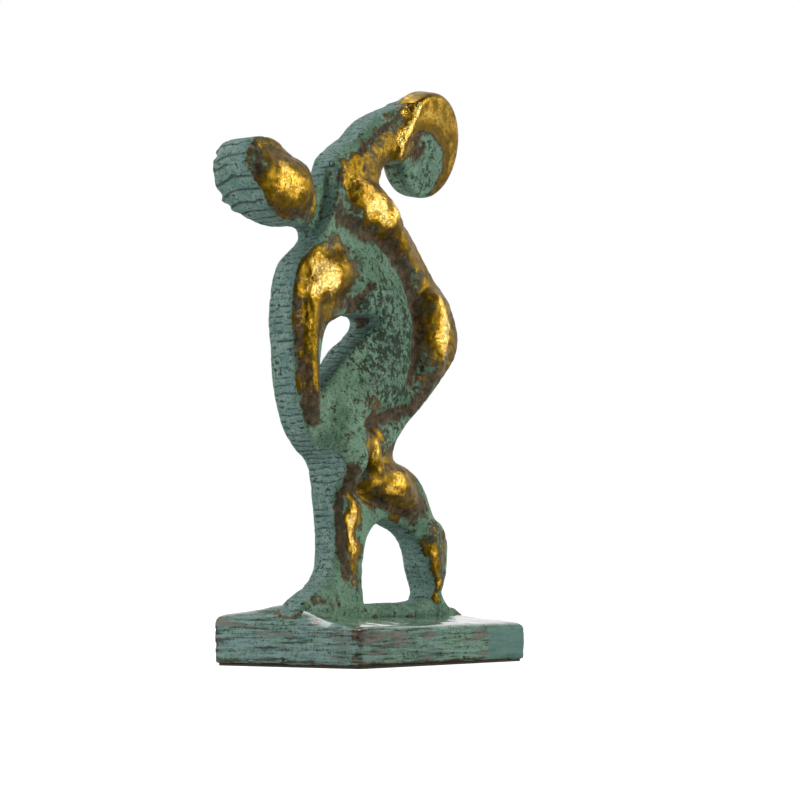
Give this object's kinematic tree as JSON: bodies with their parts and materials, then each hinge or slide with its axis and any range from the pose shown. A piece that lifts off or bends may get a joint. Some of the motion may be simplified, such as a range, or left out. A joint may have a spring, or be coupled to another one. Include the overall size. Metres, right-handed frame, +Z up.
{
  "type": "souvenir figurine",
  "caption": "Small cast brass figure of a discus thrower with green patina, screwed to a block plinth with a base pad.",
  "frame": {"origin": "middle of the base pad's underside, below the middle of the plinth", "axes": "+Z up, +X along the profile towards the trailing foot, -Y towards the worked side"},
  "size_m": [0.0445, 0.0212, 0.07],
  "materials": {
    "cast_brass": "cast, blue-green patina, rubbed back to yellow brass on the high places",
    "discus_brass": "turned and rubbed bright, green patina left in the middle",
    "plinth_brass": "cast, blue-green patina, brown worn arrises, waxed top",
    "screw_steel": "zinc plated",
    "washer_steel": "zinc plated",
    "pad_felt": "thin dark felt"
  },
  "bodies": {
    "root": {"figure": "cast_brass", "discus": "discus_brass", "plinth": "plinth_brass", "fixing_screws": "screw_steel", "washers": "washer_steel", "base_pad": "pad_felt"}
  },
  "joints": []
}
